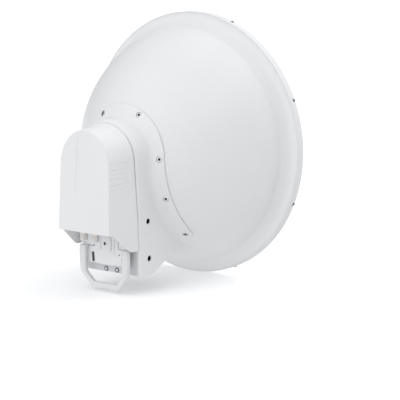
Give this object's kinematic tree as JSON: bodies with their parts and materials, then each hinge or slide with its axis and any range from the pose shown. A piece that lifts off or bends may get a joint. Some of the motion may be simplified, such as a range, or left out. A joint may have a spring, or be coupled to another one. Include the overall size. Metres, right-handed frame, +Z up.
{
  "type": "point-to-point microwave dish antenna",
  "caption": "White deep-bowl microwave dish with a shallow domed radome, arched rear mount housing, open-bottomed radio cover and a moulded carrying loop.",
  "frame": {"origin": "on the outer flat face of the housing's right side wall, between its two bracket holes", "axes": "+Y along the boresight and out of the radome, +Z up, +X to the right seen from behind"},
  "size_m": [0.65, 0.4653, 0.65],
  "materials": {
    "painted_white": "satin powder coat",
    "moulded_white": "fine moulded satin",
    "inner_white": "moulded matt",
    "dark_seal": "matt",
    "dark_plastic": "gloss",
    "bright_steel": "bright",
    "plated_shell": "nickel-plated"
  },
  "bodies": {
    "root": {"reflector": "painted_white", "rim_ring": "painted_white", "hub_ring": "painted_white", "radome": "moulded_white", "housing_shell": "moulded_white", "radio_cover": "moulded_white", "handle": "moulded_white", "data_port_plug": "moulded_white", "feed_head": "moulded_white", "housing_rear_plate": "inner_white", "radio_body": "inner_white", "port_panel": "inner_white", "port_door": "inner_white", "cover_gasket": "dark_seal", "indicator_window": "dark_plastic", "door_latch": "dark_plastic", "bracket_insert_right_upper": "bright_steel", "bracket_insert_right_lower": "bright_steel", "bracket_insert_left_upper": "bright_steel", "bracket_insert_left_lower": "bright_steel", "connector_nut_left": "bright_steel", "connector_nut_right": "bright_steel", "captive_boss_left": "bright_steel", "captive_boss_right": "bright_steel", "feed_boom": "bright_steel", "connector_left": "plated_shell", "connector_right": "plated_shell"}
  },
  "joints": []
}
